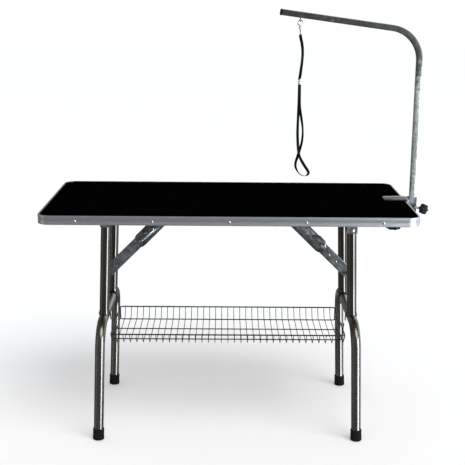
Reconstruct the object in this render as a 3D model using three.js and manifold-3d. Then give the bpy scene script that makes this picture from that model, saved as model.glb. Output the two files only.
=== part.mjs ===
// Folding grooming table with a clamp-on overhead arm, a noose and a hanging wire basket.
// Millimetres, +Z up. +X is to the right and -Y is the front. The floor is Z = 0.
import * as THREE from 'three';
import { mergeVertices } from 'three/addons/utils/BufferGeometryUtils.js';
import Module from 'manifold-3d';

const wasm = await Module();
wasm.setup();

// ---- Driving dimensions -------------------------------------------------------------------
const GAP = 0.3; // clearance kept between touching pieces
const TOP = { length: 1200, width: 600, corner: 40, boardLow: 752, boardHigh: 770, matHigh: 772 };
const TRIM = { low: 745, high: 773.3, wall: 2, topLip: 6, underLip: 12 };
const TUBE = { r: 16, wall: 1.6 };
const LEG = { tilt: Math.atan(0.0375), postY: 130, footY: 240, barZ: 391, bendR: 75, aboveHinge: 8 };
const SIDES = [
  { name: 'left', sign: -1, hinge: V2(403.1, 731), bracketLow: 703, latchTop: 20 },
  { name: 'right', sign: 1, hinge: V2(404.3, 698), bracketLow: 687, latchTop: 27 }, // folds under the left leg
];
const FOOT = { r: 18.5, height: 38, sole: 6 };
const BRACES = {
  left: { anchor: V2(212, 715), knee: V2(302, 624), bar: V2(411.2, 515) },
  right: { anchor: V2(199, 722), knee: V2(313.6, 610), bar: V2(411.2, 515), notch: V2(24.5, -21.5) },
};
const NOTCH_R = 8; // room in the upper arm's edge for the cross bar of the folded leg
const BRACE_PLATE = { half: 21.5, y: 16, sheet: 2 }; // upper arm: two outer plates
const BRACE_CHANNEL = { half: 17.5, y: 13, sheet: 2, webStart: 60 }; // lower arm: inner channel
const BRACE_BAR_R = 6;
const PIN_R = 4;
const BASKET = { halfX: 395, halfY: 155, floorY: 133, floorZ: 299, rimZ: 336, hangerZ: 363, wall: 4 };
const HOOK = { y: 105, wireR: 2 };
const MAST = { x: 630, y: 30, side: 20, wall: 1.5, foot: 702, bendR: 107 };
const MAST_TIP = { x: 172, z: 1391, shoulderX: 537, shoulderZ: 1343 };
const SOCKET = { half: 13.5, low: 700, high: 776 };
const CLAMP = {
  jawX: 526, y0: -33, y1: 41, thick: 4, backX: 603, lowerZ: 692, screwX: 566, screwY: 8, screwR: 4.5,
};
const SCREW_KNOB = { r: 25, low: 667, high: 689, lobes: 6 };
const LOCK = { z: 742, dir: new THREE.Vector3(0.63, -0.777, 0), reach: 43, knobR: 18.5, knobThick: 18 };
const NOOSE = { y: 30, eyeX: 231 };

// ---- Small tools ---------------------------------------------------------------------------
function V2(x, y) {
  return new THREE.Vector2(x, y);
}

function V3(x, y, z) {
  return new THREE.Vector3(x, y, z);
}

function toSolid(geometry) {
  const bare = geometry.clone();
  bare.deleteAttribute('normal');
  bare.deleteAttribute('uv');
  const merged = mergeVertices(bare, 1e-3);
  const mesh = new wasm.Mesh({
    numProp: 3,
    vertProperties: new Float32Array(merged.attributes.position.array),
    triVerts: new Uint32Array(merged.index.array),
  });
  return new wasm.Manifold(mesh);
}

function toGeometry(solid) {
  const mesh = solid.getMesh();
  const geometry = new THREE.BufferGeometry();
  geometry.setAttribute('position', new THREE.BufferAttribute(new Float32Array(mesh.vertProperties), 3));
  geometry.setIndex(new THREE.BufferAttribute(new Uint32Array(mesh.triVerts), 1));
  geometry.computeVertexNormals();
  return geometry;
}

function join(...parts) {
  return toGeometry(parts.map(toSolid).reduce((sum, solid) => sum.add(solid)));
}

function cut(base, ...tools) {
  return toGeometry(tools.map(toSolid).reduce((rest, tool) => rest.subtract(tool), toSolid(base)));
}

function box(x0, x1, y0, y1, z0, z1) {
  const geometry = new THREE.BoxGeometry(x1 - x0, y1 - y0, z1 - z0);
  return geometry.translate((x0 + x1) / 2, (y0 + y1) / 2, (z0 + z1) / 2);
}

// A round rod between two points.
function rod(a, b, r, sides = 16) {
  const axis = b.clone().sub(a);
  const geometry = new THREE.CylinderGeometry(r, r, axis.length(), sides);
  geometry.applyQuaternion(new THREE.Quaternion().setFromUnitVectors(V3(0, 1, 0), axis.normalize()));
  const middle = a.clone().add(b).multiplyScalar(0.5);
  return geometry.translate(middle.x, middle.y, middle.z);
}

function rodY(x, z, y0, y1, r, sides = 16) {
  return rod(V3(x, y0, z), V3(x, y1, z), r, sides);
}

// A line of points whose corners are rounded with arcs.
function rounded(points, radius, steps) {
  const line = [points[0]];
  for (let i = 1; i < points.length - 1; i++) {
    const into = points[i].clone().sub(points[i - 1]).normalize();
    const out = points[i + 1].clone().sub(points[i]).normalize();
    const turn = into.angleTo(out);
    const inward = out.clone().sub(into).normalize();
    const centre = points[i].clone().addScaledVector(inward, radius / Math.cos(turn / 2));
    const start = points[i].clone().addScaledVector(into, -radius * Math.tan(turn / 2)).sub(centre);
    const axis = into.clone().cross(out).normalize();
    for (let k = 0; k <= steps; k++) {
      line.push(start.clone().applyAxisAngle(axis, (turn * k) / steps).add(centre));
    }
  }
  line.push(points[points.length - 1]);
  return line;
}

// A curve whose extrusion steps fall exactly on the given points.
class Stations extends THREE.Curve {
  constructor(list) {
    super();
    this.list = list;
  }

  getPoint(t) {
    return this.list[Math.round(t * (this.list.length - 1))].clone();
  }

  getPointAt(t) {
    return this.getPoint(t);
  }

  getTangentAt(t) {
    const last = this.list.length - 1;
    const i = Math.round(t * last);
    const ahead = this.list[Math.min(i + 1, last)];
    const behind = this.list[Math.max(i - 1, 0)];
    return ahead.clone().sub(behind).normalize();
  }
}

function sweep(section, line) {
  const options = { steps: line.length - 1, extrudePath: new Stations(line), bevelEnabled: false };
  return new THREE.ExtrudeGeometry(section, options);
}

function circle(r, sides, phase = 0) {
  const points = [];
  for (let i = 0; i < sides; i++) {
    const angle = phase + (2 * Math.PI * i) / sides;
    points.push(V2(r * Math.cos(angle), r * Math.sin(angle)));
  }
  return points;
}

function pipeSection(r, wall, sides) {
  const section = new THREE.Shape(circle(r, sides));
  section.holes.push(new THREE.Path(circle(r - wall, sides)));
  return section;
}

function rectPoints(halfX, halfY) {
  return [V2(-halfX, -halfY), V2(halfX, -halfY), V2(halfX, halfY), V2(-halfX, halfY)];
}

function roundedRect(length, width, radius) {
  const x = length / 2 - radius;
  const y = width / 2 - radius;
  const shape = new THREE.Shape();
  shape.absarc(x, y, radius, 0, Math.PI / 2);
  shape.absarc(-x, y, radius, Math.PI / 2, Math.PI);
  shape.absarc(-x, -y, radius, Math.PI, 1.5 * Math.PI);
  shape.absarc(x, -y, radius, 1.5 * Math.PI, 2 * Math.PI);
  return shape;
}

function slab(shape, z0, z1, curveSegments = 6) {
  const options = { depth: z1 - z0, bevelEnabled: false, curveSegments };
  return new THREE.ExtrudeGeometry(shape, options).translate(0, 0, z0);
}

// A flat plate lying in X and Z, between two values of Y.
function plate(shape, y0, y1, curveSegments = 8) {
  const options = { depth: y1 - y0, bevelEnabled: false, curveSegments };
  return new THREE.ExtrudeGeometry(shape, options).rotateX(Math.PI / 2).translate(0, y1, 0);
}

// A rounded bar outline from a to b.
function stadium(a, b, half) {
  const angle = Math.atan2(b.y - a.y, b.x - a.x);
  const shape = new THREE.Shape();
  shape.absarc(a.x, a.y, half, angle + Math.PI / 2, angle + 1.5 * Math.PI);
  shape.absarc(b.x, b.y, half, angle - Math.PI / 2, angle + Math.PI / 2);
  return shape;
}

// A knob with round lobes, standing on z = 0 about its own axis.
function lobedKnob(r, thick, lobes, bore) {
  const shape = new THREE.Shape();
  const steps = lobes * 6;
  for (let i = 0; i < steps; i++) {
    const angle = (2 * Math.PI * i) / steps;
    const radius = r * (0.89 + 0.11 * Math.cos(lobes * angle));
    const point = V2(radius * Math.cos(angle), radius * Math.sin(angle));
    i === 0 ? shape.moveTo(point.x, point.y) : shape.lineTo(point.x, point.y);
  }
  shape.holes.push(new THREE.Path(circle(bore, 12)));
  return slab(shape, 0, thick);
}

const MATERIALS = {
  rubberMat: { color: 0x0b0b0c, roughness: 0.85, metalness: 0 },
  board: { color: 0x8f7350, roughness: 0.8, metalness: 0 },
  aluminium: { color: 0xb4b7ba, roughness: 0.35, metalness: 1 },
  chrome: { color: 0xc9c9cb, roughness: 0.12, metalness: 1 },
  zinc: { color: 0x7c8286, roughness: 0.45, metalness: 1 },
  galvanised: { color: 0x8d938f, roughness: 0.5, metalness: 1 },
  blackRubber: { color: 0x101011, roughness: 0.8, metalness: 0 },
  blackPlastic: { color: 0x0e0e10, roughness: 0.4, metalness: 0 },
  blackWire: { color: 0x141416, roughness: 0.4, metalness: 0 },
  webbing: { color: 0x0c0c0e, roughness: 0.9, metalness: 0 },
};

const table = new THREE.Group();

function add(name, geometry, material) {
  const mesh = new THREE.Mesh(geometry, new THREE.MeshStandardMaterial(MATERIALS[material]));
  mesh.name = name;
  table.add(mesh);
}

// ---- Tabletop ------------------------------------------------------------------------------
function addTop() {
  const inset = TRIM.wall + GAP;
  const inner = { length: TOP.length - 2 * inset, width: TOP.width - 2 * inset, corner: TOP.corner - inset };
  const core = roundedRect(inner.length, inner.width, inner.corner);
  add('board', slab(core, TOP.boardLow, TOP.boardHigh), 'board');
  add('mat', slab(core, TOP.boardHigh + GAP, TOP.matHigh), 'rubberMat');
  const trimInner = (lip) => roundedRect(TOP.length - 2 * lip, TOP.width - 2 * lip, TOP.corner - lip);
  const trim = cut(
    slab(roundedRect(TOP.length, TOP.width, TOP.corner), TRIM.low, TRIM.high),
    slab(trimInner(TRIM.wall), TRIM.low + 1.5, TOP.matHigh + GAP),
    slab(trimInner(TRIM.topLip), TOP.matHigh, TRIM.high + 1),
    slab(trimInner(TRIM.underLip), TRIM.low - 1, TRIM.low + 2),
  );
  add('edge_trim', trim, 'aluminium');
}

// ---- Leg brackets and legs -----------------------------------------------------------------
const BRACKET = { halfX: 17.5, halfY: 17, sheet: 2.5, flangeX: 30, flangeY: 34 };

function addBracket(side, end, y) {
  const x = side.sign * side.hinge.x;
  const z = side.hinge.y;
  const high = TOP.boardLow - GAP;
  const low = side.bracketLow;
  const outer = BRACKET.halfY + BRACKET.sheet;
  const flange = box(x - BRACKET.flangeX, x + BRACKET.flangeX, y - outer, y + outer, high - BRACKET.sheet, high);
  const cheeks = [-1, 1].map((way) => {
    const inner = y + way * BRACKET.halfY;
    const far = y + way * outer;
    return box(x - BRACKET.halfX, x + BRACKET.halfX, Math.min(inner, far), Math.max(inner, far), low, high - 1);
  });
  const bracket = cut(join(flange, ...cheeks), rodY(x, z, y - 40, y + 40, PIN_R + GAP));
  add(`hinge_bracket_${side.name}_${end}`, bracket, 'zinc');
  const head = outer + GAP;
  const bolt = join(
    rodY(x, z, y - head - 2, y + head + 2, PIN_R),
    rodY(x, z, y - head - 4, y - head, 7, 6),
    rodY(x, z, y + head, y + head + 4, 7, 6),
  );
  add(`hinge_bolt_${side.name}_${end}`, bolt, 'zinc');
}

// A point on the leg's line at height z.
function legX(side, z) {
  return side.sign * (side.hinge.x + (side.hinge.y - z) * Math.tan(LEG.tilt));
}

// Moves a shape made upright, with the hinge at its origin, to the leaning leg.
function lean(side, geometry) {
  const turned = geometry.rotateY(-side.sign * LEG.tilt);
  return turned.translate(side.sign * side.hinge.x, 0, side.hinge.y);
}

function addLeg(side) {
  const cosTilt = Math.cos(LEG.tilt);
  const barDown = -(side.hinge.y - LEG.barZ) / cosTilt;
  const floorDown = -side.hinge.y / cosTilt;
  const tubeEnd = floorDown + FOOT.sole + GAP;
  const corners = [
    V3(0, -LEG.footY, tubeEnd),
    V3(0, -LEG.footY, barDown),
    V3(0, LEG.footY, barDown),
    V3(0, LEG.footY, tubeEnd),
  ];
  const uTube = sweep(pipeSection(TUBE.r, TUBE.wall, 20), rounded(corners, LEG.bendR, 7));
  add(`leg_u_${side.name}`, lean(side, uTube), 'chrome');

  for (const [end, way] of [['front', -1], ['rear', 1]]) {
    const y = way * LEG.postY;
    const tube = sweep(pipeSection(TUBE.r, TUBE.wall, 20), [V3(0, y, barDown + 8), V3(0, y, LEG.aboveHinge)]);
    const post = cut(
      tube,
      rodY(0, barDown, y - 30, y + 30, TUBE.r + GAP, 32),
      rodY(0, 0, y - 30, y + 30, PIN_R + GAP),
    );
    add(`leg_post_${side.name}_${end}`, lean(side, post), 'chrome');
    addBracket(side, end, y);

    const foot = new THREE.LatheGeometry(
      [V2(0, -2), V2(FOOT.r, -2), V2(FOOT.r, FOOT.height - 1.5), V2(FOOT.r - 1.5, FOOT.height),
        V2(TUBE.r + GAP, FOOT.height), V2(TUBE.r + GAP, FOOT.sole), V2(0, FOOT.sole)],
      20,
    );
    foot.rotateX(Math.PI / 2).translate(0, way * LEG.footY, floorDown);
    const flat = cut(lean(side, foot), box(-700, 700, -300, 300, -20, 0));
    add(`foot_${side.name}_${end}`, flat, 'blackRubber');
    addHook(side, end, way * HOOK.y);
  }

  const barY = LEG.postY - TUBE.r - GAP;
  const braceBar = BRACES[side.name].bar;
  const bar = rodY(side.sign * braceBar.x, braceBar.y, -barY, barY, BRACE_BAR_R, 16);
  add(`brace_bar_${side.name}`, bar, 'zinc');
}

// A wire hook that rests over the cross bar of a leg and comes down on its inner side.
function addHook(side, end, y) {
  const r = TUBE.r + GAP + HOOK.wireR;
  const x = legX(side, LEG.barZ);
  const line = [];
  for (let k = 0; k <= 12; k++) {
    const angle = THREE.MathUtils.degToRad(-20 + (200 * k) / 12);
    line.push(V3(x + side.sign * r * Math.cos(angle), y, LEG.barZ + r * Math.sin(angle)));
  }
  line.push(V3(x - side.sign * r, y, LEG.barZ - 10));
  const wire = new THREE.Shape(circle(HOOK.wireR, 8));
  add(`basket_hook_${side.name}_${end}`, sweep(wire, line), 'blackWire');
}

// ---- Folding braces ------------------------------------------------------------------------
// Flat geometry of one brace: its pivots, and the directions along it and out to the hinge corner.
function braceLayout(side) {
  const spec = BRACES[side.name];
  const [anchor, knee, bar] = [spec.anchor, spec.knee, spec.bar].map((p) => V2(side.sign * p.x, p.y));
  const along = knee.clone().sub(anchor).normalize();
  const out = V2(-along.y, along.x).multiplyScalar(side.sign);
  return { anchor, knee, bar, along, out };
}

// The fixed bracket under the board, with a stub pin on each side.
function addBraceAnchor(side, anchor) {
  const high = TOP.boardLow - GAP;
  const low = anchor.y - 12;
  const inner = BRACE_PLATE.y + 1;
  const outer = inner + 2.5;
  const ends = [anchor.x + side.sign * 24, anchor.x - side.sign * 12];
  const cheek = (y0, y1) => box(Math.min(...ends), Math.max(...ends), y0, y1, low, high - 1);
  const mount = join(
    box(anchor.x - 45, anchor.x + 45, -outer, outer, high - 2.5, high),
    cheek(-outer, -inner),
    cheek(inner, outer),
  );
  const bored = cut(mount, rodY(anchor.x, anchor.y, -40, 40, PIN_R + GAP));
  add(`brace_anchor_${side.name}`, bored, 'zinc');
  for (const [end, way] of [['front', -1], ['rear', 1]]) {
    const reach = [BRACE_PLATE.y - BRACE_PLATE.sheet - 0.4, outer + GAP, outer + GAP + 2.5].map((y) => way * y);
    const pin = join(
      rodY(anchor.x, anchor.y, reach[0], reach[1], PIN_R, 12),
      rodY(anchor.x, anchor.y, reach[1], reach[2], 7, 12),
    );
    add(`brace_pin_${side.name}_${end}`, pin, 'zinc');
  }
}

function addBrace(side) {
  const { anchor, knee, bar, along, out } = braceLayout(side);
  const at = (length, offset) => knee.clone().addScaledVector(along, length).addScaledVector(out, offset);
  addBraceAnchor(side, anchor);

  const openings = [rodY(anchor.x, anchor.y, -40, 40, PIN_R + GAP, 16)];
  const { notch } = BRACES[side.name];
  if (notch) {
    const fromKnee = notch.x - anchor.distanceTo(knee);
    openings.push(plate(stadium(at(fromKnee, notch.y), at(fromKnee + 4, notch.y - 24), NOTCH_R), -40, 40));
  }

  // The upper arm is two plates that take the lower arm between them when the leg folds.
  for (const [end, way] of [['front', -1], ['rear', 1]]) {
    const faces = [way * BRACE_PLATE.y, way * (BRACE_PLATE.y - BRACE_PLATE.sheet)];
    const blank = plate(stadium(anchor, knee, BRACE_PLATE.half), Math.min(...faces), Math.max(...faces));
    const headEnds = [faces[0] - way * 0.2, faces[0] + way * 2];
    const head = rodY(knee.x, knee.y, Math.min(...headEnds), Math.max(...headEnds), 6, 12);
    const bored = cut(join(blank, head), ...openings);
    add(`brace_upper_${side.name}_${end}`, bored, 'zinc');
  }

  // The lower arm is a channel whose web starts clear of the knee.
  const size = BRACE_CHANNEL;
  const down = bar.clone().sub(knee).normalize();
  const across = V2(-down.y, down.x).multiplyScalar(side.sign);
  const corner = (length, offset) =>
    knee.clone().addScaledVector(down, length).addScaledVector(across, offset);
  const far = bar.distanceTo(knee);
  const web = new THREE.Shape([
    corner(size.webStart, size.half - size.sheet), corner(far, size.half - size.sheet),
    corner(far, size.half), corner(size.webStart, size.half),
  ]);
  const cheek = (y0, y1) => plate(stadium(knee, bar, size.half), y0, y1);
  const channel = join(
    cheek(-size.y, -size.y + size.sheet),
    cheek(size.y - size.sheet, size.y),
    plate(web, -size.y + 0.5, size.y - 0.5),
  );
  const bored = cut(channel, rodY(bar.x, bar.y, -40, 40, BRACE_BAR_R + GAP));
  add(`brace_lower_${side.name}`, bored, 'zinc');

  const outline = [
    at(-46, 3), at(-42, 16), at(-26, side.latchTop), at(2, side.latchTop - 1), at(10, 13), at(-9, 5),
  ];
  const latchY = -BRACE_PLATE.y - GAP;
  const pivot = at(-30, 9);
  const lever = join(
    plate(new THREE.Shape(outline), latchY - 2, latchY),
    rodY(pivot.x, pivot.y, latchY - 4, latchY - 1, 4, 12),
  );
  add(`brace_latch_${side.name}`, lever, 'zinc');
}

// ---- Basket --------------------------------------------------------------------------------
function addBasket() {
  const b = BASKET;
  const section = (inset) => new THREE.Shape([
    V2(-b.floorY + inset, b.floorZ + inset),
    V2(b.floorY - inset, b.floorZ + inset),
    V2(b.halfY - inset, b.rimZ + (inset ? 5 : 0)),
    V2(-b.halfY + inset, b.rimZ + (inset ? 5 : 0)),
  ]);
  const along = (shape, half) => {
    const solid = new THREE.ExtrudeGeometry(shape, { depth: 2 * half, bevelEnabled: false });
    return solid.rotateX(Math.PI / 2).rotateZ(Math.PI / 2).translate(-half, 0, 0);
  };
  const tray = cut(along(section(0), b.halfX), along(section(b.wall), b.halfX - b.wall));
  const hangers = [];
  for (const sign of [-1, 1]) {
    for (const y of [-HOOK.y, HOOK.y]) {
      const x = sign * (b.halfX - 2);
      hangers.push(box(x - 2, x + 2, y - 2, y + 2, b.rimZ - 12, b.hangerZ));
    }
  }
  add('basket', join(tray, ...hangers), 'blackWire');
}

// ---- Overhead arm, its socket and clamp ----------------------------------------------------
function addMast() {
  const corner = V3(MAST.x, MAST.y, 0);
  const slope = (MAST_TIP.z - MAST_TIP.shoulderZ) / (MAST_TIP.shoulderX - MAST_TIP.x);
  corner.z = MAST_TIP.shoulderZ - (MAST.x - MAST_TIP.shoulderX) * slope;
  const half = MAST.side / 2;
  const section = new THREE.Shape(rectPoints(half, half));
  section.holes.push(new THREE.Path(rectPoints(half - MAST.wall, half - MAST.wall)));
  const line = rounded(
    [V3(MAST.x, MAST.y, MAST.foot), corner, V3(MAST_TIP.x, MAST.y, MAST_TIP.z)],
    MAST.bendR,
    10,
  );
  add('overhead_arm', sweep(section, line), 'galvanised');

  const cap = box(-6, 2, -half - 0.6, half + 0.6, -half - 0.6, half + 0.6);
  cap.translate(-2 - GAP, 0, 0).rotateY(Math.atan(slope)).translate(MAST_TIP.x, MAST.y, MAST_TIP.z);
  add('arm_end_cap', cap, 'blackPlastic');

  const eyeZ = MAST_TIP.shoulderZ + (MAST_TIP.shoulderX - NOOSE.eyeX) * slope - half - 1;
  const eye = new THREE.TorusGeometry(5, 1.6, 8, 16).rotateY(Math.PI / 2);
  eye.translate(NOOSE.eyeX, MAST.y, eyeZ - 6);
  const stalk = rod(V3(NOOSE.eyeX, MAST.y, eyeZ - 1.5), V3(NOOSE.eyeX, MAST.y, eyeZ - 0.1), 2.4, 8);
  add('arm_eye', join(eye, stalk), 'zinc');
}

function addClamp() {
  const c = CLAMP;
  const topZ = TRIM.high + GAP;
  const tongue = new THREE.Shape([
    V2(c.backX, c.y0), V2(c.backX, c.y1), V2(c.jawX + 6, c.y1 - 13), V2(c.jawX, c.y1 - 19),
    V2(c.jawX, c.y0 + 19), V2(c.jawX + 6, c.y0 + 13),
  ]);
  const upper = slab(tongue, topZ, topZ + c.thick);
  const back = box(c.backX - 1, c.backX + 4, c.y0, c.y1, c.lowerZ, topZ + c.thick);
  const lower = box(c.screwX - 18, c.backX, c.screwY - 16, c.screwY + 16, c.lowerZ, c.lowerZ + 6);
  const body = join(upper, back, lower);
  const onScrew = (z) => V3(c.screwX, c.screwY, z);
  const bore = rod(onScrew(c.lowerZ - 5), onScrew(c.lowerZ + 12), c.screwR + GAP, 16);
  add('clamp_body', cut(body, bore), 'zinc');

  const padHigh = TOP.boardLow - GAP;
  add('clamp_pad', rod(onScrew(padHigh - 5), onScrew(padHigh), 13, 20), 'zinc');
  const screw = rod(onScrew(SCREW_KNOB.low + 4), onScrew(padHigh - 5 - GAP), c.screwR, 16);
  add('clamp_screw', screw, 'zinc');
  const knob = lobedKnob(SCREW_KNOB.r, SCREW_KNOB.high - SCREW_KNOB.low, SCREW_KNOB.lobes, c.screwR + GAP);
  add('clamp_knob', knob.translate(c.screwX, c.screwY, SCREW_KNOB.low), 'blackPlastic');

  const outer = SOCKET.half;
  const inner = MAST.side / 2 + GAP;
  const centre = V3(MAST.x, MAST.y, LOCK.z);
  const tube = cut(
    box(MAST.x - outer, MAST.x + outer, MAST.y - outer, MAST.y + outer, SOCKET.low, SOCKET.high),
    box(MAST.x - inner, MAST.x + inner, MAST.y - inner, MAST.y + inner, SOCKET.low - 1, SOCKET.high + 1),
    rod(centre, centre.clone().addScaledVector(LOCK.dir, 40), 4.3, 16),
  );
  const web = [CLAMP.backX + 4 + GAP, MAST.x - outer + 1];
  const gusset = box(...web, MAST.y - 9, MAST.y + 9, SOCKET.low, SOCKET.high);
  add('arm_socket', join(tube, gusset), 'zinc');

  const start = centre.clone().addScaledVector(LOCK.dir, 15.6);
  const end = centre.clone().addScaledVector(LOCK.dir, LOCK.reach + LOCK.knobThick - 3);
  add('lock_screw', rod(start, end, 4, 16), 'zinc');
  const lockKnob = lobedKnob(LOCK.knobR, LOCK.knobThick, 6, 4.3);
  lockKnob.applyQuaternion(new THREE.Quaternion().setFromUnitVectors(V3(0, 0, 1), LOCK.dir.clone().normalize()));
  const base = centre.clone().addScaledVector(LOCK.dir, LOCK.reach);
  add('lock_knob', lockKnob.translate(base.x, base.y, base.z), 'blackPlastic');
}

// ---- Noose ---------------------------------------------------------------------------------
const STRAP = { halfWide: 5, halfThick: 1 };
const HOOK_BOW = { z: 1356.8, r: 8, wire: 1.6, shankLow: 1337.5 };

// A flat strap through the given [x, z, y] points, its width along Y.
function strap(points, steps) {
  const curve = new THREE.CatmullRomCurve3(points.map(([x, z, y = 0]) => V3(x, NOOSE.y + y, z)));
  const section = new THREE.Shape(rectPoints(STRAP.halfWide, STRAP.halfThick));
  return sweep(section, curve.getSpacedPoints(steps));
}

// A point on the bow of the snap hook.
function onBow(degrees) {
  const angle = THREE.MathUtils.degToRad(degrees);
  return V3(NOOSE.eyeX + HOOK_BOW.r * Math.cos(angle), NOOSE.y, HOOK_BOW.z + HOOK_BOW.r * Math.sin(angle));
}

function addNoose() {
  const x = NOOSE.eyeX;
  const y = NOOSE.y;
  const bow = [];
  for (let degrees = 10; degrees <= 270; degrees += 20) {
    bow.push(onBow(degrees));
  }
  const shankTop = HOOK_BOW.z - HOOK_BOW.r;
  const hook = join(
    sweep(new THREE.Shape(circle(HOOK_BOW.wire, 8)), bow),
    rod(V3(x, y, shankTop + 1), V3(x, y, shankTop - 5), 3, 12),
    rod(V3(x, y, shankTop - 4), V3(x, y, HOOK_BOW.shankLow), 4.2, 12),
  );
  add('snap_hook', hook, 'chrome');
  add('snap_gate', rod(onBow(-8), onBow(-50), 1.3, 8), 'chrome');
  const ring = new THREE.TorusGeometry(7.5, 1.6, 8, 18).rotateY(Math.PI / 2);
  add('noose_ring', ring.translate(x + 1, y, 1328), 'chrome');
  add('strap_upper', strap([[232, 1318], [238, 1290], [241, 1262], [238, 1220], [233, 1176]], 14), 'webbing');
  add('strap_slider', box(225.5, 240.5, y - 7, y + 7, 1156, 1175), 'chrome');
  const loop = [
    [231.6, 1155], [231.6, 1087], [231, 976, -2], [237, 920, -6], [256, 886, -3], [271, 858], [258, 846],
    [238, 856], [226, 883, 3], [237, 920, 6], [248, 1003, 2], [236.5, 1087], [234.6, 1155],
  ];
  add('strap_loop', strap(loop, 60), 'webbing');
}

addTop();
for (const side of SIDES) {
  addLeg(side);
  addBrace(side);
}
addBasket();
addMast();
addClamp();
addNoose();

// The origin is the middle of the footprint, on the floor.
const extent = new THREE.Box3().setFromObject(table);
table.position.set(-(extent.min.x + extent.max.x) / 2, -(extent.min.y + extent.max.y) / 2, 0);

export default table;
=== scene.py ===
import math

import bmesh
import bpy
from mathutils import Matrix, Vector


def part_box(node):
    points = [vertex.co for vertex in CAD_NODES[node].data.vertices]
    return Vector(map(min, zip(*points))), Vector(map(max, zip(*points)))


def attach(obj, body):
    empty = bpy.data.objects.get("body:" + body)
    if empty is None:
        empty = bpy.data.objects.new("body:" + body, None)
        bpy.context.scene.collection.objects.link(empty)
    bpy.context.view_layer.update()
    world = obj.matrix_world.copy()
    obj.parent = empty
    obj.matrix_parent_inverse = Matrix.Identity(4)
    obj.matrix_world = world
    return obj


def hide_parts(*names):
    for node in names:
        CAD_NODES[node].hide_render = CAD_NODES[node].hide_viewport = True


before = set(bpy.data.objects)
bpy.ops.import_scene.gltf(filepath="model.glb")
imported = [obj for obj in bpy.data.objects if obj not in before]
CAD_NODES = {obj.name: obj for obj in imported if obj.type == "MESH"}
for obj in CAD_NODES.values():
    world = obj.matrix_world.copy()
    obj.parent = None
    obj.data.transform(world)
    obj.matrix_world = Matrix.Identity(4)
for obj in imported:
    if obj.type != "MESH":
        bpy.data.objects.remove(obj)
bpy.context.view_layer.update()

# Lengths below are in millimetres from the middle of the tabletop, with the floor at z = 0.
MM = 0.001
board_low, board_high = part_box("board")
MIDDLE_X = (board_low.x + board_high.x) / 2


def at(x, y, z):
    return Vector((x * MM + MIDDLE_X, y * MM, z * MM))


# ---- Camera ---------------------------------------------------------------------------------
CAMERA_AT = (-19.3, -3209.7, 1422.6)
PITCH, YAW, ROLL = (math.radians(a) for a in (13.485, 0.584, -0.511))
SENSOR_WIDTH, FOCAL_LENGTH, FAR_CLIP = 36.0, 74.5, 50.0


def make_camera():
    data = bpy.data.cameras.new("camera")
    data.sensor_width = SENSOR_WIDTH
    data.lens = FOCAL_LENGTH
    data.clip_end = FAR_CLIP
    camera = bpy.data.objects.new("camera", data)
    bpy.context.scene.collection.objects.link(camera)
    ahead = Vector((math.sin(YAW) * math.cos(PITCH), math.cos(YAW) * math.cos(PITCH), -math.sin(PITCH)))
    level = Vector((math.cos(YAW), -math.sin(YAW), 0.0))
    drop = ahead.cross(level)
    right = level * math.cos(ROLL) + drop * math.sin(ROLL)
    down = drop * math.cos(ROLL) - level * math.sin(ROLL)
    turn = Matrix((right, -down, -ahead)).transposed()
    camera.matrix_world = Matrix.Translation(at(*CAMERA_AT)) @ turn.to_4x4()
    bpy.context.scene.camera = camera


make_camera()


# ---- Materials ------------------------------------------------------------------------------
NOISE_LOW, NOISE_HIGH = 0.3, 0.7  # where nearly all of a noise texture's values lie


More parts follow.
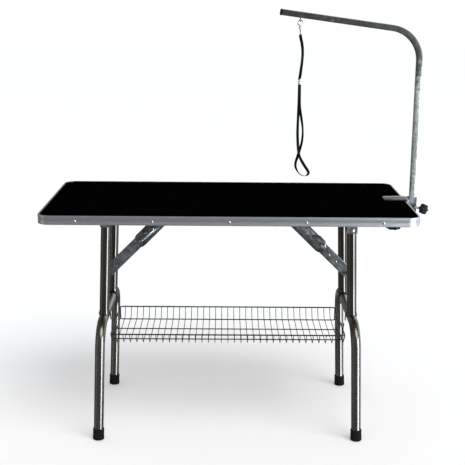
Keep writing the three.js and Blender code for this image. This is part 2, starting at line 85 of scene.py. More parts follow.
class Paint:
    """A procedural material: mottled colour, uneven roughness and fine relief. Sizes are in metres."""

    def __init__(self, name, slot, metallic=0.0, specular=0.5):
        self.slot = slot
        self.material = bpy.data.materials.new(name)
        self.material.use_nodes = True
        self.nodes = self.material.node_tree.nodes
        self.links = self.material.node_tree.links
        self.shader = self.nodes["Principled BSDF"]
        self.shader.inputs["Metallic"].default_value = metallic
        self.shader.inputs["Specular IOR Level"].default_value = specular
        self.coords = self.nodes.new("ShaderNodeTexCoord").outputs["Object"]

    def spread(self, stretch=(1, 1, 1)):
        mapping = self.nodes.new("ShaderNodeMapping")
        mapping.inputs["Scale"].default_value = stretch
        self.links.new(self.coords, mapping.inputs["Vector"])
        return mapping.outputs["Vector"]

    def noise(self, scale, detail=4.0, stretch=(1, 1, 1)):
        node = self.nodes.new("ShaderNodeTexNoise")
        node.inputs["Scale"].default_value = scale
        node.inputs["Detail"].default_value = detail
        self.links.new(self.spread(stretch), node.inputs["Vector"])
        return node.outputs["Fac"]

    def cells(self, scale):
        node = self.nodes.new("ShaderNodeTexVoronoi")
        node.inputs["Scale"].default_value = scale
        self.links.new(self.spread(), node.inputs["Vector"])
        split = self.nodes.new("ShaderNodeSeparateColor")
        self.links.new(node.outputs["Color"], split.inputs["Color"])
        return split.outputs["Red"]

    def waves(self, scale, direction):
        node = self.nodes.new("ShaderNodeTexWave")
        node.bands_direction = direction
        node.inputs["Scale"].default_value = scale
        self.links.new(self.spread(), node.inputs["Vector"])
        return node.outputs["Fac"]

    def height_fade(self, low, high, amount):
        """Rises from 0 to amount between two heights in metres."""
        split = self.nodes.new("ShaderNodeSeparateXYZ")
        self.links.new(self.coords, split.inputs["Vector"])
        node = self.nodes.new("ShaderNodeMapRange")
        node.inputs["From Min"].default_value = low
        node.inputs["From Max"].default_value = high
        node.inputs["To Max"].default_value = amount
        self.links.new(split.outputs["Z"], node.inputs["Value"])
        return node.outputs["Result"]

    def both(self, a, b, operation):
        node = self.nodes.new("ShaderNodeMath")
        node.operation = operation
        self.links.new(a, node.inputs[0])
        self.links.new(b, node.inputs[1])
        return node.outputs[0]

    def colour(self, fac, dark, light, low=NOISE_LOW, high=NOISE_HIGH):
        ramp = self.nodes.new("ShaderNodeValToRGB")
        ramp.color_ramp.elements[0].position = low
        ramp.color_ramp.elements[0].color = (*dark, 1)
        ramp.color_ramp.elements[1].position = high
        ramp.color_ramp.elements[1].color = (*light, 1)
        self.links.new(fac, ramp.inputs["Fac"])
        self.links.new(ramp.outputs["Color"], self.shader.inputs["Base Color"])

    def rough(self, fac, low, high):
        node = self.nodes.new("ShaderNodeMapRange")
        node.inputs["From Min"].default_value = NOISE_LOW
        node.inputs["From Max"].default_value = NOISE_HIGH
        node.inputs["To Min"].default_value = low
        node.inputs["To Max"].default_value = high
        self.links.new(fac, node.inputs["Value"])
        self.links.new(node.outputs["Result"], self.shader.inputs["Roughness"])

    def relief(self, height, depth):
        node = self.nodes.new("ShaderNodeBump")
        node.inputs["Strength"].default_value = 1.0
        node.inputs["Distance"].default_value = depth
        self.links.new(height, node.inputs["Height"])
        self.links.new(node.outputs["Normal"], self.shader.inputs["Normal"])


def make_paints():
    paints = {}

    p = paints["mat"] = Paint("mat_rubber", "mat_rubber", specular=0.0)
    p.colour(p.noise(60), (0.0004, 0.0004, 0.0005), (0.0012, 0.0012, 0.0013))
    p.rough(p.noise(25), 0.85, 0.95)
    p.relief(p.both(p.waves(160, "X"), p.noise(700), "MULTIPLY"), 0.0003)

    p = paints["wood"] = Paint("board_wood", "board")
    p.colour(p.noise(90, 8, (1, 2, 2)), (0.16, 0.10, 0.055), (0.33, 0.23, 0.13))
    p.rough(p.noise(200), 0.6, 0.85)
    p.relief(p.noise(800, 4), 0.0002)

    p = paints["aluminium"] = Paint("edge_aluminium", "edge_aluminium", metallic=1.0)
    p.colour(p.noise(30, 6, (1, 1, 8)), (0.45, 0.455, 0.47), (0.55, 0.555, 0.57))
    p.rough(p.noise(40, 4, (1, 1, 30)), 0.36, 0.48)
    p.relief(p.noise(60, 5, (1, 1, 60)), 0.00003)

    # Two copies of one chrome. Both base colours are far darker than bare chrome: painted shade standing in for
    # dark reflections. The posts' copy is the darker one, and the lower tube's copy is painted lighter, as painted
    # light. Their roughness differs too.
    for key, name, dark, light, roughness in (
        ("chrome", "chrome_tube", (0.080, 0.075, 0.064), (0.120, 0.114, 0.100), (0.12, 0.145)),
        ("chrome_u", "chrome_lower_tube", (0.125, 0.121, 0.108), (0.18, 0.175, 0.158), (0.24, 0.265)),
    ):
        p = paints[key] = Paint(name, "chrome_tube", metallic=1.0)
        p.colour(p.noise(12, 4, (1, 1, 0.4)), dark, light)
        p.rough(p.noise(50, 3), *roughness)
        p.relief(p.noise(120, 2), 0.000003)

    # Three copies of one zinc steel. The bright copy's lighter base colour is painted light, and the dull copy's
    # darker base colour is painted shade; the dull copy is rougher as well.
    for key, dark, light, roughness, grain, depth in (
        ("zinc", (0.20, 0.215, 0.22), (0.37, 0.395, 0.40), (0.32, 0.52), 400, 0.00008),
        ("bright_zinc_painted_light", (0.42, 0.43, 0.44), (0.72, 0.73, 0.74), (0.32, 0.48), 300, 0.00006),
        ("dull_zinc_painted_shade", (0.13, 0.14, 0.145), (0.24, 0.255, 0.26), (0.55, 0.70), 400, 0.00008),
    ):
        p = paints[key] = Paint(key + "_steel", "zinc_steel", metallic=1.0)
        p.colour(p.both(p.noise(45, 6), p.cells(90), "MULTIPLY"), dark, light, 0.05, 0.55)
        p.rough(p.noise(80, 5), *roughness)
        p.relief(p.noise(grain, 4), depth)

    p = paints["galvanised"] = Paint("galvanised_arm", "galvanised_arm", metallic=1.0)
    mottling = p.both(p.noise(28, 8, (1, 1, 0.7)), p.noise(120, 5), "MULTIPLY")
    darker_at_the_top = p.both(mottling, p.height_fade(1.12, 1.26, 0.30), "SUBTRACT")
    p.colour(darker_at_the_top, (0.12, 0.126, 0.124), (0.64, 0.68, 0.59), 0.02, 0.36)
    p.rough(p.noise(70, 5), 0.30, 0.42)
    p.relief(p.noise(300, 4), 0.00003)

    p = paints["rubber"] = Paint("foot_rubber", "foot_rubber", specular=0.08)
    p.colour(p.noise(150), (0.006, 0.006, 0.006), (0.014, 0.014, 0.014))
    p.rough(p.noise(90), 0.6, 0.8)
    p.relief(p.noise(900, 3), 0.00015)

    p = paints["wire"] = Paint("black_wire", "black_wire")
    p.colour(p.noise(120), (0.004, 0.004, 0.005), (0.011, 0.011, 0.012))
    p.rough(p.noise(200), 0.30, 0.45)
    p.relief(p.noise(700, 2), 0.00006)

    p = paints["plastic"] = Paint("black_plastic", "black_plastic", specular=0.1)
    p.colour(p.noise(140), (0.008, 0.008, 0.009), (0.017, 0.017, 0.018))
    p.rough(p.noise(180), 0.38, 0.55)
    p.relief(p.noise(1200, 2), 0.00008)

    p = paints["webbing"] = Paint("noose_webbing", "webbing", specular=0.12)
    p.colour(p.noise(500), (0.0015, 0.0015, 0.0018), (0.006, 0.006, 0.007))
    p.rough(p.noise(300), 0.7, 0.9)
    p.relief(p.both(p.waves(330, "Z"), p.waves(420, "Y"), "MULTIPLY"), 0.0004)

    p = paints["bright"] = Paint("bright_fittings", "bright_fittings", metallic=1.0)
    p.colour(p.noise(150), (0.42, 0.42, 0.42), (0.58, 0.58, 0.57))
    p.rough(p.noise(300), 0.15, 0.28)
    p.relief(p.noise(900, 2), 0.00002)

    p = paints["floor"] = Paint("studio_floor", "", specular=0.2)
    p.colour(p.noise(2), (0.86, 0.86, 0.86), (0.88, 0.88, 0.88))
    p.rough(p.noise(8), 0.85, 0.95)
    p.shader.inputs["Emission Color"].default_value = (1, 1, 1, 1)
    p.shader.inputs["Emission Strength"].default_value = 0.22
    return paints


PAINT = make_paints()
SHARP_ANGLE = math.radians(38)
BEVEL_ANGLE = math.radians(50)
FLAT_ANGLE = math.radians(1)


# ---- Mesh tools -----------------------------------------------------------------------------
def finish_piece(name, mesh, paint, body, nodes):
    for polygon in mesh.polygons:
        polygon.use_smooth = True
    mesh.set_sharp_from_angle(angle=SHARP_ANGLE)
    mesh.materials.clear()
    mesh.materials.append(PAINT[paint].material)
    piece = bpy.data.objects.new(name, mesh)
    bpy.context.scene.collection.objects.link(piece)
    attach(piece, body)
    if nodes:
        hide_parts(*nodes)
    return piece


def piece_from_bmesh(name, bm, paint, body, nodes=()):
    bmesh.ops.recalc_face_normals(bm, faces=bm.faces)
    mesh = bpy.data.meshes.new(name)
    bm.to_mesh(mesh)
    bm.free()
    return finish_piece(name, mesh, paint, body, nodes)


def add_rings(bm, rings, closed=False):
    """Skins a list of rings of points; the ends are capped unless the rings close on themselves."""
    made = [[bm.verts.new(point) for point in ring] for ring in rings]
    count = len(made[0])
    pairs = list(zip(made, made[1:]))
    if closed:
        pairs.append((made[-1], made[0]))
    for a, b in pairs:
        for i in range(count):
            j = (i + 1) % count
            bm.faces.new((a[i], a[j], b[j], b[i]))
    if not closed:
        bm.faces.new(list(reversed(made[0])))
        bm.faces.new(made[-1])


def circle(r, sides):
    angles = [2 * math.pi * i / sides for i in range(sides)]
    return [(r * math.cos(a), r * math.sin(a)) for a in angles]


def rounded_rect(half_x, half_y, r, steps=4):
    points = []
    for quarter, (sx, sy) in enumerate(((1, 1), (-1, 1), (-1, -1), (1, -1))):
        for k in range(steps + 1):
            a = math.pi / 2 * (quarter + k / steps)
            points.append((sx * (half_x - r) + r * math.cos(a), sy * (half_y - r) + r * math.sin(a)))
    return points


def sweep_rings(path, section, first_normal=None, closed=False):
    """Rings of a section carried along a path of points in metres without twisting."""
    count = len(path)
    rings = []
    normal = first_normal
    for i in range(count):
        ahead = path[(i + 1) % count] if closed or i + 1 < count else path[i]
        behind = path[i - 1] if closed or i > 0 else path[i]
        tangent = (ahead - behind).normalized()
        if normal is None:
            normal = Vector((0, 1, 0)) if abs(tangent.y) < 0.9 else Vector((1, 0, 0))
        normal = (normal - tangent * normal.dot(tangent)).normalized()
        side = tangent.cross(normal)
        rings.append([path[i] + normal * (u * MM) + side * (v * MM) for u, v in section])
    return rings


def rounded_path(points, radius, steps=14):
    path = [points[0]]
    for a, b, c in zip(points, points[1:], points[2:]):
        into = (b - a).normalized()
        out = (c - b).normalized()
        turn = into.angle(out)
        inward = (out - into).normalized()
        centre = b + inward * (radius * MM / math.cos(turn / 2))
        start = b - into * (radius * MM * math.tan(turn / 2)) - centre
        axis = into.cross(out).normalized()
        for k in range(steps + 1):
            path.append(Matrix.Rotation(turn * k / steps, 3, axis) @ start + centre)
    path.append(points[-1])
    return path


def smooth_path(points, per_span):
    """A Catmull-Rom curve through the points."""
    out = []
    for i in range(len(points) - 1):
        p0, p1, p2 = points[max(i - 1, 0)], points[i], points[i + 1]
        p3 = points[min(i + 2, len(points) - 1)]
        for k in range(per_span):
            t = k / per_span
            out.append(
                0.5 * ((2 * p1) + (p2 - p0) * t + (2 * p0 - 5 * p1 + 4 * p2 - p3) * t * t
                       + (3 * p1 - p0 - 3 * p2 + p3) * t ** 3)
            )
    out.append(points[-1])
    return out


def tube(name, path, r, paint, body, nodes=(), sides=32):
    bm = bmesh.new()
    add_rings(bm, sweep_rings(path, circle(r, sides)))
    return piece_from_bmesh(name, bm, paint, body, nodes)


LEAST_RADIUS = 0.02  # a profile's point on the axis is opened this far, so that no face collapses


def turned_rings(profile, base, axis, sides=48):
    """Rings of a turned shape: profile is (radius, distance along the axis) in millimetres."""
    axis = axis.normalized()
    u = axis.orthogonal().normalized()
    v = axis.cross(u)
    return [
        [base + axis * (h * MM) + (u * x + v * y) * MM for x, y in circle(max(r, LEAST_RADIUS), sides)]
        for r, h in profile
    ]


def turned(name, profile, base, axis, paint, body, nodes=(), sides=48):
    bm = bmesh.new()
    add_rings(bm, turned_rings(profile, base, axis, sides))
    return piece_from_bmesh(name, bm, paint, body, nodes)


def refined(node, paint, body, bevel):
    """The CAD node's own shape with its flat faces joined and its edges softened."""
    bm = bmesh.new()
    bm.from_mesh(CAD_NODES[node].data)
    bmesh.ops.remove_doubles(bm, verts=bm.verts, dist=1e-6)
    bmesh.ops.dissolve_limit(bm, angle_limit=FLAT_ANGLE, verts=bm.verts, edges=bm.edges)
    edges = [e for e in bm.edges if len(e.link_faces) == 2 and e.calc_face_angle(0) > BEVEL_ANGLE]
    bmesh.ops.bevel(bm, geom=edges, offset=bevel * MM, segments=2, affect="EDGES", clamp_overlap=True)
    return piece_from_bmesh(node + "_piece", bm, paint, body, (node,))


# ---- Noose: the straps come first, because they are cords -----------------------------------
NOOSE_X, NOOSE_Y = 231, 30
STRAP_WIDTH = 10
STEPS_PER_SPAN = 8


def strap(name, points, thick, node):
    """A flat strap through points (x, y, z, turn): turn 0 has its width along Y, and 90 faces the front."""
    path = smooth_path([at(x, NOOSE_Y + y, z) for x, y, z, _ in points], STEPS_PER_SPAN)
    turns = []
    for a, b in zip(points, points[1:]):
        for k in range(STEPS_PER_SPAN):
            blend = 0.5 - 0.5 * math.cos(math.pi * k / STEPS_PER_SPAN)
            turns.append(math.radians(a[3] + (b[3] - a[3]) * blend))
    turns.append(math.radians(points[-1][3]))
    section = rounded_rect(STRAP_WIDTH / 2, thick / 2, thick * 0.45, 3)
    rings = []
    for i, (place, turn) in enumerate(zip(path, turns)):
        tangent = (path[min(i + 1, len(path) - 1)] - path[max(i - 1, 0)]).normalized()
        flat = Vector((0, 1, 0))
        flat = (flat - tangent * flat.dot(tangent)).normalized()
        wide = Matrix.Rotation(turn, 3, tangent) @ flat
        thin = tangent.cross(wide)
        rings.append([place + wide * (u * MM) + thin * (v * MM) for u, v in section])
    bm = bmesh.new()
    add_rings(bm, rings)
    piece = piece_from_bmesh(name, bm, "webbing", "noose", (node,))
    length = sum((b - a).length for a, b in zip(path, path[1:]))
    return piece, path, length


UPPER = [
    (232, 0, 1319, 90), (234, 0, 1306, 88), (238, 0, 1290, 80), (241, 0, 1262, 62), (240, 0, 1235, 58),
    (237, 0, 1205, 75), (233, 0, 1174, 90),
]
LOOP = [
    (233, -1.3, 1157, 90), (232.4, -1.3, 1087, 84), (230.6, -1.4, 1030, 60), (231, -2, 976, 70),
    (237, -4, 920, 62), (254, -3, 886, 86), (271, 0, 858, 72), (258, 0, 846, 12), (238, 0, 856, 18),
    (226, 3, 883, 48), (235, 4, 920, 60), (246, 3, 962, 40), (248, 2, 1003, 28), (242, 1.4, 1045, 50),
    (235, 1.3, 1087, 80), (233.4, 1.3, 1157, 90),
]

upper_strap, upper_path, upper_length = strap("noose_upper_strap", UPPER, 3.0, "strap_upper")
loop_strap, loop_path, loop_length = strap("noose_loop_strap", LOOP, 1.8, "strap_loop")


def make_slider():
    """Three cross plates and the two side rods that join them."""
    low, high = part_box("strap_slider")
    middle = (low + high) / 2
    plate_x, plate_y, half_plate = 0.0052, 0.0068, 0.0018
    inset, rod_y, rod_end = 0.0022, 0.0062, 0.0006
    bm = bmesh.new()
    for z in (low.z + inset, middle.z, high.z - inset):
        outline = rounded_rect(1, 1, 0.4, 4)
        add_rings(bm, [
            [Vector((middle.x + u * plate_x, middle.y + v * plate_y, z + dz)) for u, v in outline]
            for dz in (-half_plate, half_plate)
        ])
    for y in (middle.y - rod_y, middle.y + rod_y):
        rod = [Vector((middle.x, y, z)) for z in (low.z + rod_end, high.z - rod_end)]
        add_rings(bm, sweep_rings(rod, circle(1.9, 16)))
    return piece_from_bmesh("noose_slider", bm, "bright", "noose", ("strap_slider",))


slider = make_slider()


# ---- Noose fittings -------------------------------------------------------------------------
def ring_path(centre, r, u, v, start=0, stop=360, steps=48):
    closed = stop - start >= 360
    count = steps if closed else steps + 1
    angles = [math.radians(start + (stop - start) * k / steps) for k in range(count)]
    return [centre + (u * math.cos(a) + v * math.sin(a)) * (r * MM) for a in angles]


ACROSS, DEEP, UP = Vector((1, 0, 0)), Vector((0, 1, 0)), Vector((0, 0, 1))


def closed_tube(bm, path, r, sides=16):
    add_rings(bm, sweep_rings(path, circle(r, sides), closed=True), closed=True)


BOW_Z, BOW_R = 1356.8, 8


def make_noose_fittings():
    bow_centre = at(NOOSE_X, NOOSE_Y, BOW_Z)
    bm = bmesh.new()
    add_rings(bm, sweep_rings(ring_path(bow_centre, BOW_R, ACROSS, UP, 10, 270, 40), circle(1.7, 16)))
    profile = [(0, -20), (3.4, -20), (4.3, -19), (4.3, -16), (3.2, -15), (3.2, -12), (2.4, -9), (1.6, -8), (0, -8)]
    add_rings(bm, turned_rings(profile, bow_centre, UP, 24))
    piece_from_bmesh("snap_hook_piece", bm, "bright", "snap_hook", ("snap_hook",))

    def on_bow(degrees):
        a = math.radians(degrees)
        return at(NOOSE_X + BOW_R * math.cos(a), NOOSE_Y, BOW_Z + BOW_R * math.sin(a))

    bm = bmesh.new()
    add_rings(bm, sweep_rings([on_bow(-8), on_bow(-50)], circle(1.3, 16)))
    piece_from_bmesh("snap_gate_piece", bm, "bright", "snap_gate", ("snap_gate",))

    bm = bmesh.new()
    closed_tube(bm, ring_path(at(NOOSE_X + 1, NOOSE_Y, 1328), 7.5, DEEP, UP), 1.6)
    piece_from_bmesh("noose_ring_piece", bm, "bright", "noose", ("noose_ring",))

    low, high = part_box("arm_eye")
    middle = (low + high) / 2
    bm = bmesh.new()
    closed_tube(bm, ring_path(Vector((middle.x, middle.y, low.z + 0.0066)), 5, DEEP, UP), 1.6)
    add_rings(bm, turned_rings([(2.4, 12.6), (2.4, 10.5)], Vector((middle.x, middle.y, low.z)), UP, 16))
    piece_from_bmesh("arm_eye_piece", bm, "zinc", "arm", ("arm_eye",))


make_noose_fittings()

# ---- Legs -----------------------------------------------------------------------------------
SLOPE = 0.0375
TILT = math.atan(SLOPE)
BAR_Z = 391
HINGES = {"left": (-1, 403.1, 731), "right": (1, 404.3, 698)}
TUBE_R = 16
POST_Y, FOOT_Y, HOOK_Y = 130, 240, 105
CROSS_BAR_X, CROSS_BAR_Z = 411.2, 515
HOOK_R, HOOK_BOTTOM = 18.3, 373.5


def on_leg(side, x, y, down):
    """A point given across and down a leg from its hinge, in millimetres."""
    sign, hinge_x, hinge_z = HINGES[side]
    return at(
        sign * hinge_x + x * math.cos(TILT) + sign * down * math.sin(TILT),
        y,
        hinge_z + sign * x * math.sin(TILT) - down * math.cos(TILT),
    )


def make_leg(side):
    sign, hinge_x, hinge_z = HINGES[side]
    body = side + "_leg"
    bar_down = (hinge_z - BAR_Z) / math.cos(TILT)
    floor_down = hinge_z / math.cos(TILT)
    corners = [
        on_leg(side, 0, -FOOT_Y, floor_down - 7), on_leg(side, 0, -FOOT_Y, bar_down),
        on_leg(side, 0, FOOT_Y, bar_down), on_leg(side, 0, FOOT_Y, floor_down - 7),
    ]
    # The lower tube takes the lighter chrome copy (painted light), and the posts and their welds take the darker
    # copy (painted shade).
    tube("leg_u_tube_" + side, rounded_path(corners, 75), TUBE_R, "chrome_u", body, ("leg_u_" + side,), 64)
    down_axis = (on_leg(side, 0, 0, 10) - on_leg(side, 0, 0, 0)).normalized()
    for end, way in (("front", -1), ("rear", 1)):
        y = way * POST_Y
        post = [on_leg(side, 0, y, bar_down - 8), on_leg(side, 0, y, -8)]
        node = f"leg_post_{side}_{end}"
        tube(node + "_tube", post, TUBE_R, "chrome", body, (node,), 64)
        seam = turned_rings(
            [(16.0, -6), (18.2, 2), (18.6, 6), (17.2, 10)], on_leg(side, 0, y, bar_down - 16.5), down_axis, 48
        )
        bm = bmesh.new()
        add_rings(bm, seam)
        piece_from_bmesh(f"post_weld_{side}_{end}", bm, "chrome", body)
        foot_profile = [
            (16.3, 38), (17.6, 38), (18.5, 37), (18.5, 29), (17.9, 28.4), (17.9, 26.6), (18.5, 26), (18.5, 19),
            (17.9, 18.4), (17.9, 16.6), (18.5, 16), (18.9, 6), (18.9, 1.6), (17.6, 0.7), (0, 0.7),
        ]
        base = on_leg(side, 0, way * FOOT_Y, floor_down)
        node = f"foot_{side}_{end}"
        turned(node + "_cap", foot_profile, base, -down_axis, "rubber", body, (node,))
        make_hook(side, end, way * HOOK_Y)
    bar = [at(sign * CROSS_BAR_X, y, CROSS_BAR_Z) for y in (-113.5, 113.5)]
    tube("brace_cross_bar_" + side, bar, 6, "zinc", body, ("brace_bar_" + side,), 32)


def make_hook(side, end, y):
    sign, hinge_x, hinge_z = HINGES[side]
    x = sign * (hinge_x + (hinge_z - BAR_Z) * SLOPE)
    path = []
    for k in range(25):
        a = math.radians(-20 + 200 * k / 24)
        path.append(at(x + sign * HOOK_R * math.cos(a), y, BAR_Z + HOOK_R * math.sin(a)))
    path.append(at(x - sign * HOOK_R, y, HOOK_BOTTOM))
    node = f"basket_hook_{side}_{end}"
    tube(node + "_wire", path, 2.0, "wire", side + "_leg", (node,), 16)


for leg_side in HINGES:
    make_leg(leg_side)


# ---- Hinge brackets, bolts and braces -------------------------------------------------------
def bolt_profile(reach):
    """A bolt head, its shank and its nut, each reaching this far from the middle of the bolt."""
    head = [(0, -reach - 4), (4.5, -reach - 3.7), (6.6, -reach - 2.2), (7.2, -reach)]
    nut = [(7.2, reach), (6.6, reach + 3), (4, reach + 3), (4, reach + 4), (0, reach + 4)]
    return head + [(4, -reach), (4, reach)] + nut


def make_brackets():
    for side, (sign, hinge_x, hinge_z) in HINGES.items():
        for end, way in (("front", -1), ("rear", 1)):
            refined(f"hinge_bracket_{side}_{end}", "zinc", "tabletop", 0.8)
            centre = at(sign * hinge_x, way * POST_Y, hinge_z)
            node = f"hinge_bolt_{side}_{end}"
            turned(node + "_piece", bolt_profile(19.8), centre, DEEP, "bright", "tabletop", (node,))


# The anchor pin, knee and cross bar of each brace, as (x, z).
BRACES = {
    "left": ((-212, 715), (-302, 624), (-CROSS_BAR_X, CROSS_BAR_Z)),
    "right": ((199, 722), (313.6, 610), (CROSS_BAR_X, CROSS_BAR_Z)),
}


def dome(name, centre, axis, r, height, paint, body):
    profile = [(r, -0.3), (r, height * 0.3), (r * 0.8, height * 0.75), (r * 0.4, height), (0, height)]
    return turned(name, profile, centre, axis, paint, body, (), 24)


def make_braces():
    for side, (anchor, knee, bar) in BRACES.items():
        refined("brace_anchor_" + side, "zinc", "tabletop", 0.8)
        for end in ("front", "rear"):
            refined(f"brace_upper_{side}_{end}", "zinc", side + "_brace_upper", 0.5)
            refined(f"brace_pin_{side}_{end}", "zinc", "tabletop", 0.5)
        refined("brace_lower_" + side, "zinc", side + "_brace_lower", 0.6)
        refined("brace_latch_" + side, "zinc", side + "_latch", 0.5)
        toward_bar = Vector((bar[0] - knee[0], bar[1] - knee[1])).normalized()
        toward_anchor = Vector((anchor[0] - knee[0], anchor[1] - knee[1])).normalized()
        # The two rivets on the lower arm are low enough to slide inside the folded upper plate.
        for number, (step, y, height, body) in enumerate((
            (toward_bar * 45, -13, 0.7, side + "_brace_lower"),
            (toward_bar * 78, -13, 0.7, side + "_brace_lower"),
            (toward_anchor * 62, -16, 1.8, side + "_brace_upper"),
        )):
            centre = at(knee[0] + step.x, y, knee[1] + step.y)
            dome(f"brace_rivet_{side}_{number}", centre, -DEEP, 3.6, height, "bright", body)


make_brackets()
make_braces()

# ---- Tabletop -------------------------------------------------------------------------------
HALF_LENGTH, HALF_WIDTH, CORNER = 600, 300, 40
CORNER_STEPS = 16
SCREW_SINK, SCREW_Z = 0.3, 757


def make_edge_band():
    profile = [
        (0.5, 745), (12, 745), (12, 746.5), (2, 746.5), (2, 772.3), (6, 772.3), (6, 773.2), (5.4, 773.5),
        (1.4, 773.5), (0.5, 772.9), (0.05, 771.5), (0.0, 769), (0.0, 762), (0.35, 761.4), (0.35, 752), (0.0, 751.4),
        (0.0, 745.6),
    ]
    rings = []
    for quarter, (sx, sy) in enumerate(((1, 1), (-1, 1), (-1, -1), (1, -1))):
        for k in range(CORNER_STEPS + 1):
            a = math.pi / 2 * (quarter + k / CORNER_STEPS)
            cx, cy = sx * (HALF_LENGTH - CORNER), sy * (HALF_WIDTH - CORNER)
            rings.append(
                [at(cx + (CORNER - d) * math.cos(a), cy + (CORNER - d) * math.sin(a), z) for d, z in profile]
            )
    bm = bmesh.new()
    add_rings(bm, rings, closed=True)
    piece_from_bmesh("edge_band", bm, "aluminium", "tabletop", ("edge_trim",))
    side_y, end_x = HALF_WIDTH - SCREW_SINK, HALF_LENGTH - SCREW_SINK
    screws = [(x, way * side_y, DEEP * way) for x in (-480, -240, 0, 240, 480) for way in (-1, 1)]
    screws += [(way * end_x, y, ACROSS * way) for y in (-170, 170) for way in (-1, 1)]
    for number, (x, y, axis) in enumerate(screws):
        dome(f"band_screw_{number}", at(x, y, SCREW_Z), axis, 4.2, 1.9, "bright", "tabletop")


def repaint(node, paint):
    node_object = CAD_NODES[node]
    node_object.data.materials.clear()
    node_object.data.materials.append(PAINT[paint].material)


make_edge_band()
repaint("mat", "mat")
repaint("board", "wood")

# ---- Basket ---------------------------------------------------------------------------------
RIM_X, RIM_Y, RIM_Z = 392.5, 152.5, 336
FLOOR_Y, FLOOR_Z = 131, 301
LONG_WIRE_Z = FLOOR_Z + 3
WIRE_PITCH, WIRE_COUNT = 22, 35
RIM_WIRE_R, CROSS_WIRE_R, HANGER_WIRE_R, LONG_WIRE_R = 2.3, 1.25, 2.0, 1.9
HANGER_Z = 363


def make_basket():
    bm = bmesh.new()
    rim = [at(x, y, RIM_Z) for x, y in rounded_rect(RIM_X, RIM_Y, 12, 6)]
    closed_tube(bm, rim, RIM_WIRE_R)
    for i in range(WIRE_COUNT):
        x = (i - (WIRE_COUNT - 1) / 2) * WIRE_PITCH
        corners = [
            at(x, -RIM_Y + 1, RIM_Z + 1), at(x, -RIM_Y + 3, RIM_Z - 14), at(x, -FLOOR_Y, FLOOR_Z),
            at(x, FLOOR_Y, FLOOR_Z), at(x, RIM_Y - 3, RIM_Z - 14), at(x, RIM_Y - 1, RIM_Z + 1),
        ]
        add_rings(bm, sweep_rings(rounded_path(corners, 9, 5), circle(CROSS_WIRE_R, 10)))
    for y in (-HOOK_Y, HOOK_Y):
        corners = [
            at(-393.5, y, HANGER_Z), at(-392, y, 350), at(-388, y, LONG_WIRE_Z),
            at(388, y, LONG_WIRE_Z), at(392, y, 350), at(393.5, y, HANGER_Z),
        ]
        add_rings(bm, sweep_rings(rounded_path(corners, 8, 6), circle(HANGER_WIRE_R, 12)))
    middle_wire = [at(-RIM_X, 0, LONG_WIRE_Z), at(RIM_X, 0, LONG_WIRE_Z)]
    add_rings(bm, sweep_rings(middle_wire, circle(LONG_WIRE_R, 12)))
    for sign in (-1, 1):
        ends = [
            at(sign * RIM_X, -RIM_Y, RIM_Z), at(sign * (RIM_X - 3), -FLOOR_Y, LONG_WIRE_Z),
            at(sign * (RIM_X - 3), FLOOR_Y, LONG_WIRE_Z), at(sign * RIM_X, RIM_Y, RIM_Z),
        ]
        add_rings(bm, sweep_rings(rounded_path(ends, 9, 5), circle(LONG_WIRE_R, 12)))
    piece_from_bmesh("basket_wires", bm, "wire", "basket", ("basket",))


make_basket()

# ---- Overhead arm, socket and clamp ---------------------------------------------------------
MAST_X, MAST_Y, MAST_LOW = 630, 30, 702
ARM_TIP_X, ARM_TIP_Z = 172, 1391
ARM_BEND_X, ARM_BEND_Z = 537, 1343  # where the straight top of the arm starts to bend down
ARM_SLOPE = (ARM_TIP_Z - ARM_BEND_Z) / (ARM_BEND_X - ARM_TIP_X)
ARM_BEND_R = 107


def make_arm():
    corner_z = ARM_TIP_Z - (MAST_X - ARM_TIP_X) * ARM_SLOPE
    corners = [
        at(MAST_X, MAST_Y, MAST_LOW), at(MAST_X, MAST_Y, corner_z), at(ARM_TIP_X, MAST_Y, ARM_TIP_Z),
    ]
    path = rounded_path(corners, ARM_BEND_R, 28)
    bm = bmesh.new()
    add_rings(bm, sweep_rings(path, rounded_rect(10, 10, 2.6, 5), Vector((0, 1, 0))))
    piece_from_bmesh("arm_tube", bm, "galvanised", "arm", ("overhead_arm",))
    refined("arm_end_cap", "plastic", "arm", 1.6)


KNOB_LOBES, KNOB_SIDES = 6, 96


def lobed_knob(name, base, axis, r, thick, body, node):
    """A hand knob of this radius and thickness, lobed at its rim and round at its middle."""
    axis = axis.normalized()
    u = axis.orthogonal().normalized()
    v = axis.cross(u)
    profile = [
        (0.16, 0.0), (0.80, 0.0), (0.93, 0.06), (1.0, 0.22), (1.0, 0.70), (0.95, 0.88), (0.84, 0.96),
        (0.42, 0.96), (0.36, 1.0), (0.16, 1.0),
    ]
    rings = []
    for scale, height in profile:
        ring = []
        for i in range(KNOB_SIDES):
            a = 2 * math.pi * i / KNOB_SIDES
            lobe = 0.88 + 0.12 * math.cos(KNOB_LOBES * a)
            shape = 1 + (lobe - 1) * max(0.0, min(1.0, (scale - 0.4) / 0.4))
            outward = (u * math.cos(a) + v * math.sin(a)) * (scale * shape * r * MM)
            ring.append(base + axis * (height * thick * MM) + outward)
        rings.append(ring)
    bm = bmesh.new()
    add_rings(bm, rings)
    piece_from_bmesh(name, bm, "plastic", body, (node,))


THREAD_SIDES, THREAD_STEPS, THREAD_DEPTH = 24, 6, 0.6


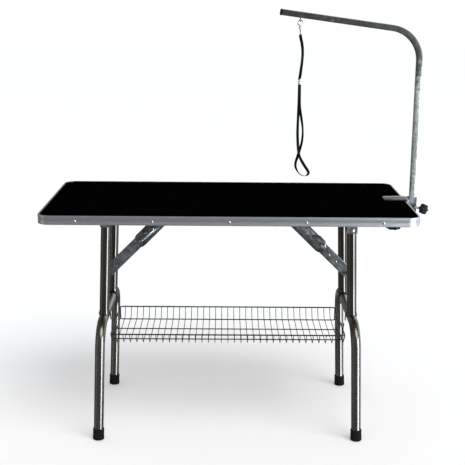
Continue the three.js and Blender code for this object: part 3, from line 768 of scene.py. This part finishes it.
def threaded(name, base, axis, r, length, pitch, body, node):
    """A rod with a spiral thread and plain ends."""
    axis = axis.normalized()
    u = axis.orthogonal().normalized()
    v = axis.cross(u)
    rings = []
    steps = int(length / pitch * THREAD_STEPS)
    for k in range(steps + 1):
        h = length * k / steps
        ring = []
        for i in range(THREAD_SIDES):
            turn = i / THREAD_SIDES
            groove = abs(((h / pitch - turn) % 1.0) * 2 - 1)
            depth = 0.0 if k in (0, steps) else THREAD_DEPTH
            radius = (r - depth * groove) * MM
            a = 2 * math.pi * turn
            ring.append(base + axis * (h * MM) + (u * math.cos(a) + v * math.sin(a)) * radius)
        rings.append(ring)
    bm = bmesh.new()
    add_rings(bm, rings)
    piece_from_bmesh(name, bm, "bright", body, (node,))


CLAMP_SCREW_X, CLAMP_SCREW_Y = 566, 8
LOCK_Z = 742
LOCK_AXIS = Vector((0.63, -0.777, 0))
LOCK_SCREW_FROM, LOCK_KNOB_FROM = 15.7 * MM, 43 * MM  # along the axis from the mast's middle


def make_clamp():
    # The clamp body takes the bright zinc copy, its lighter base colour painted light, and the socket takes the
    # dull copy, its darker base colour painted shade.
    refined("clamp_body", "bright_zinc_painted_light", "tabletop", 0.8)
    refined("arm_socket", "dull_zinc_painted_shade", "tabletop", 0.7)

    def on_screw(z):
        return at(CLAMP_SCREW_X, CLAMP_SCREW_Y, z)

    lobed_knob("clamp_knob_grip", on_screw(689), -UP, 25, 22, "clamp_knob", "clamp_knob")
    threaded("clamp_screw_thread", on_screw(671), UP, 4.5, 75, 2.0, "clamp_screw", "clamp_screw")
    pad = [(0, 0), (12, 0), (13, 0.8), (13, 3.6), (12.4, 5), (0, 5)]
    turned("clamp_pad_disc", pad, on_screw(746.7), UP, "zinc", "clamp_screw", ("clamp_pad",))
    centre = at(MAST_X, MAST_Y, LOCK_Z)
    knob_at, screw_at = centre + LOCK_AXIS * LOCK_KNOB_FROM, centre + LOCK_AXIS * LOCK_SCREW_FROM
    lobed_knob("lock_knob_grip", knob_at, LOCK_AXIS, 18.5, 18, "lock_knob", "lock_knob")
    threaded("lock_screw_thread", screw_at, LOCK_AXIS, 4, 42, 1.5, "lock_screw", "lock_screw")


make_arm()
make_clamp()


# ---- Floor and light ------------------------------------------------------------------------
# The room's strength as the camera sees it, as it lights surfaces, and as it shows in reflections.
BACKDROP, ROOM_LIGHT, ROOM_REFLECTED = 1.0, 0.55, 0.27
KEY_LIGHT, KEY_ANGLE = 1.5, math.radians(40)
KEY_DIRECTION = Vector((-0.42, 0.55, -1.0))
FLOOR_HALF, FLOOR_LEVEL = 30, -0.0005  # in metres
# Each card's name, place, target, size, radiance and colour, with lengths in metres.
REFLECTION_CARDS = (
    ("right_card", (2.6, -2.0, 0.0), (0, 0, 0.0), (1.4, 3.8), 13.0, (0.84, 0.92, 1.0)),
    ("side_card", (3.4, 1.0, 0.3), (0, 0, 0.3), (2.0, 3.6), 1.6, (0.85, 0.93, 1.0)),
    ("left_card", (-3.0, -1.2, 0.1), (0, 0, 0.1), (0.3, 3.0), 2.0, (1, 1, 1)),
    ("back_card", (2.9, 4.2, 1.8), (0.3, 0, 0.8), (5.0, 3.6), 1.0, (1, 1, 1)),
)


def aim(thing, direction):
    thing.rotation_euler = direction.to_track_quat("-Z", "Y").to_euler()


def reflection_card(name, place, target, size, radiance, colour):
    """A soft area light that shows only in glossy surfaces. Lengths are in metres."""
    data = bpy.data.lights.new(name, "AREA")
    data.shape = "RECTANGLE"
    data.size, data.size_y = size
    data.energy = radiance * math.pi * size[0] * size[1]
    data.color = colour
    light = bpy.data.objects.new(name, data)
    bpy.context.scene.collection.objects.link(light)
    light.visible_camera = False
    light.visible_diffuse = False
    light.location = Vector(place)
    aim(light, Vector(target) - Vector(place))


def make_floor():
    bm = bmesh.new()
    corners = [(-1, -1), (1, -1), (1, 1), (-1, 1)]
    bm.faces.new([bm.verts.new((x * FLOOR_HALF, y * FLOOR_HALF, FLOOR_LEVEL)) for x, y in corners])
    mesh = bpy.data.meshes.new("floor")
    bm.to_mesh(mesh)
    bm.free()
    mesh.materials.append(PAINT["floor"].material)
    floor = bpy.data.objects.new("floor", mesh)
    bpy.context.scene.collection.objects.link(floor)
    # The tubes reflect downward, so a visible floor would hide the cards from them.
    floor.visible_glossy = False


def make_room():
    world = bpy.data.worlds.new("studio")
    world.use_nodes = True
    nodes = world.node_tree.nodes
    links = world.node_tree.links
    rays = nodes.new("ShaderNodeLightPath")
    surface = nodes["Background"].outputs["Background"]
    nodes["Background"].inputs["Color"].default_value = (0.95, 0.97, 1.0, 1)
    nodes["Background"].inputs["Strength"].default_value = ROOM_LIGHT
    for ray, colour, strength in (
        ("Is Glossy Ray", (0.97, 0.985, 1.0, 1), ROOM_REFLECTED),
        ("Is Camera Ray", (1, 1, 1, 1), BACKDROP),
    ):
        shade = nodes.new("ShaderNodeBackground")
        shade.inputs["Color"].default_value = colour
        shade.inputs["Strength"].default_value = strength
        mix = nodes.new("ShaderNodeMixShader")
        links.new(rays.outputs[ray], mix.inputs["Fac"])
        links.new(surface, mix.inputs[1])
        links.new(shade.outputs["Background"], mix.inputs[2])
        surface = mix.outputs["Shader"]
    links.new(surface, nodes["World Output"].inputs["Surface"])
    bpy.context.scene.world = world


def make_lights():
    sun = bpy.data.lights.new("soft_key", "SUN")
    sun.energy = KEY_LIGHT
    sun.angle = KEY_ANGLE
    key = bpy.data.objects.new("soft_key", sun)
    bpy.context.scene.collection.objects.link(key)
    aim(key, KEY_DIRECTION)
    for card in REFLECTION_CARDS:
        reflection_card(*card)


make_floor()
make_room()
make_lights()
bpy.context.scene.view_settings.view_transform = "Standard"
